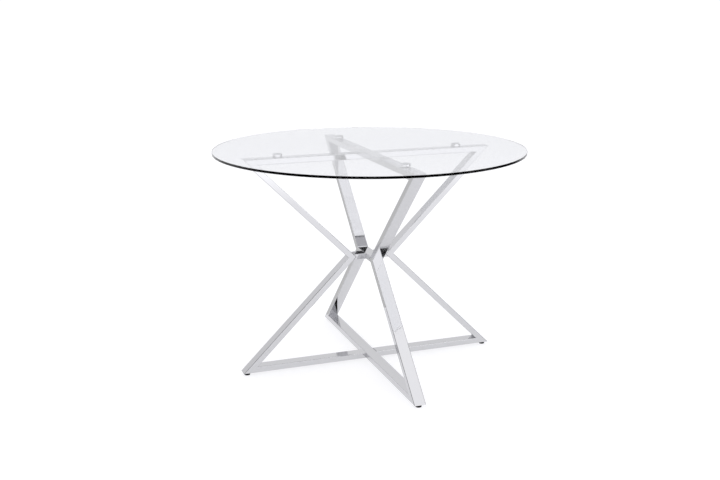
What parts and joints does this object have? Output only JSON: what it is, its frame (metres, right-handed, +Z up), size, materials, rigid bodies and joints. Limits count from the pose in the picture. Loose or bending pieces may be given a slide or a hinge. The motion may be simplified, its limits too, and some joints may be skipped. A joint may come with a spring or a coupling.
{
  "type": "round dining table",
  "caption": "Round glass-topped dining table on a crossed, waisted frame of chromed rectangular tube, with screw-adjustable feet.",
  "frame": {"origin": "on the floor, under the middle of the table", "axes": "+Z up, X along the cross frame from the left foot to the right foot, Y along the main frame from the front foot to the back foot"},
  "size_m": [1.0599, 1.06, 0.76],
  "materials": {
    "clear_glass": "clear tempered float glass with a ground and polished rim",
    "chrome_plate": "bright chrome plate over polished steel tube",
    "zinc_plated_steel": "zinc-plated steel",
    "soft_pad": "translucent grey silicone",
    "black_foot": "moulded black plastic"
  },
  "bodies": {
    "table": {"glass_top": "clear_glass", "main_top_rail": "chrome_plate", "main_waist_rail": "chrome_plate", "main_bottom_rail": "chrome_plate", "front_upper_leg": "chrome_plate", "front_lower_leg": "chrome_plate", "back_upper_leg": "chrome_plate", "back_lower_leg": "chrome_plate", "left_top_rail": "chrome_plate", "left_upper_leg": "chrome_plate", "left_waist_rail": "chrome_plate", "left_lower_leg": "chrome_plate", "left_bottom_rail": "chrome_plate", "right_top_rail": "chrome_plate", "right_upper_leg": "chrome_plate", "right_waist_rail": "chrome_plate", "right_lower_leg": "chrome_plate", "right_bottom_rail": "chrome_plate", "top_connector_bar": "zinc_plated_steel", "waist_connector_bar": "zinc_plated_steel", "bottom_connector_bar": "zinc_plated_steel", "connector_screws": "zinc_plated_steel", "front_spacer": "chrome_plate", "back_spacer": "chrome_plate", "left_spacer": "chrome_plate", "right_spacer": "chrome_plate", "front_spacer_pad": "soft_pad", "back_spacer_pad": "soft_pad", "left_spacer_pad": "soft_pad", "right_spacer_pad": "soft_pad", "spacer_screws": "zinc_plated_steel", "foot_weld_nuts": "zinc_plated_steel"},
    "front_foot": {"front_foot_pad": "black_foot"},
    "front_stud": {"front_foot_stud": "zinc_plated_steel"},
    "back_foot": {"back_foot_pad": "black_foot"},
    "back_stud": {"back_foot_stud": "zinc_plated_steel"},
    "left_foot": {"left_foot_pad": "black_foot"},
    "left_stud": {"left_foot_stud": "zinc_plated_steel"},
    "right_foot": {"right_foot_pad": "black_foot"},
    "right_stud": {"right_foot_stud": "zinc_plated_steel"}
  },
  "joints": [
    {"name": "front_foot_height", "type": "slide", "parent": "table", "child": "front_foot", "axis": [0, 0, -1], "range_m": [0, 0.004]},
    {"name": "front_foot_turn", "type": "hinge", "parent": "front_foot", "child": "front_stud", "pos_m": [0, -0.447, 0], "axis": [0, 0, -1], "range_deg": [0, 1440]},
    {"name": "back_foot_height", "type": "slide", "parent": "table", "child": "back_foot", "axis": [0, 0, -1], "range_m": [0, 0.004]},
    {"name": "back_foot_turn", "type": "hinge", "parent": "back_foot", "child": "back_stud", "pos_m": [0, 0.447, 0], "axis": [0, 0, -1], "range_deg": [0, 1440]},
    {"name": "left_foot_height", "type": "slide", "parent": "table", "child": "left_foot", "axis": [0, 0, -1], "range_m": [0, 0.004]},
    {"name": "left_foot_turn", "type": "hinge", "parent": "left_foot", "child": "left_stud", "pos_m": [-0.447, 0, 0], "axis": [0, 0, -1], "range_deg": [0, 1440]},
    {"name": "right_foot_height", "type": "slide", "parent": "table", "child": "right_foot", "axis": [0, 0, -1], "range_m": [0, 0.004]},
    {"name": "right_foot_turn", "type": "hinge", "parent": "right_foot", "child": "right_stud", "pos_m": [0.447, 0, 0], "axis": [0, 0, -1], "range_deg": [0, 1440]}
  ],
  "couplings": [
    {"joint": "front_foot_turn", "follows": "front_foot_height", "rad_per_m": 6283.2},
    {"joint": "back_foot_turn", "follows": "back_foot_height", "rad_per_m": 6283.2},
    {"joint": "left_foot_turn", "follows": "left_foot_height", "rad_per_m": 6283.2},
    {"joint": "right_foot_turn", "follows": "right_foot_height", "rad_per_m": 6283.2}
  ]
}
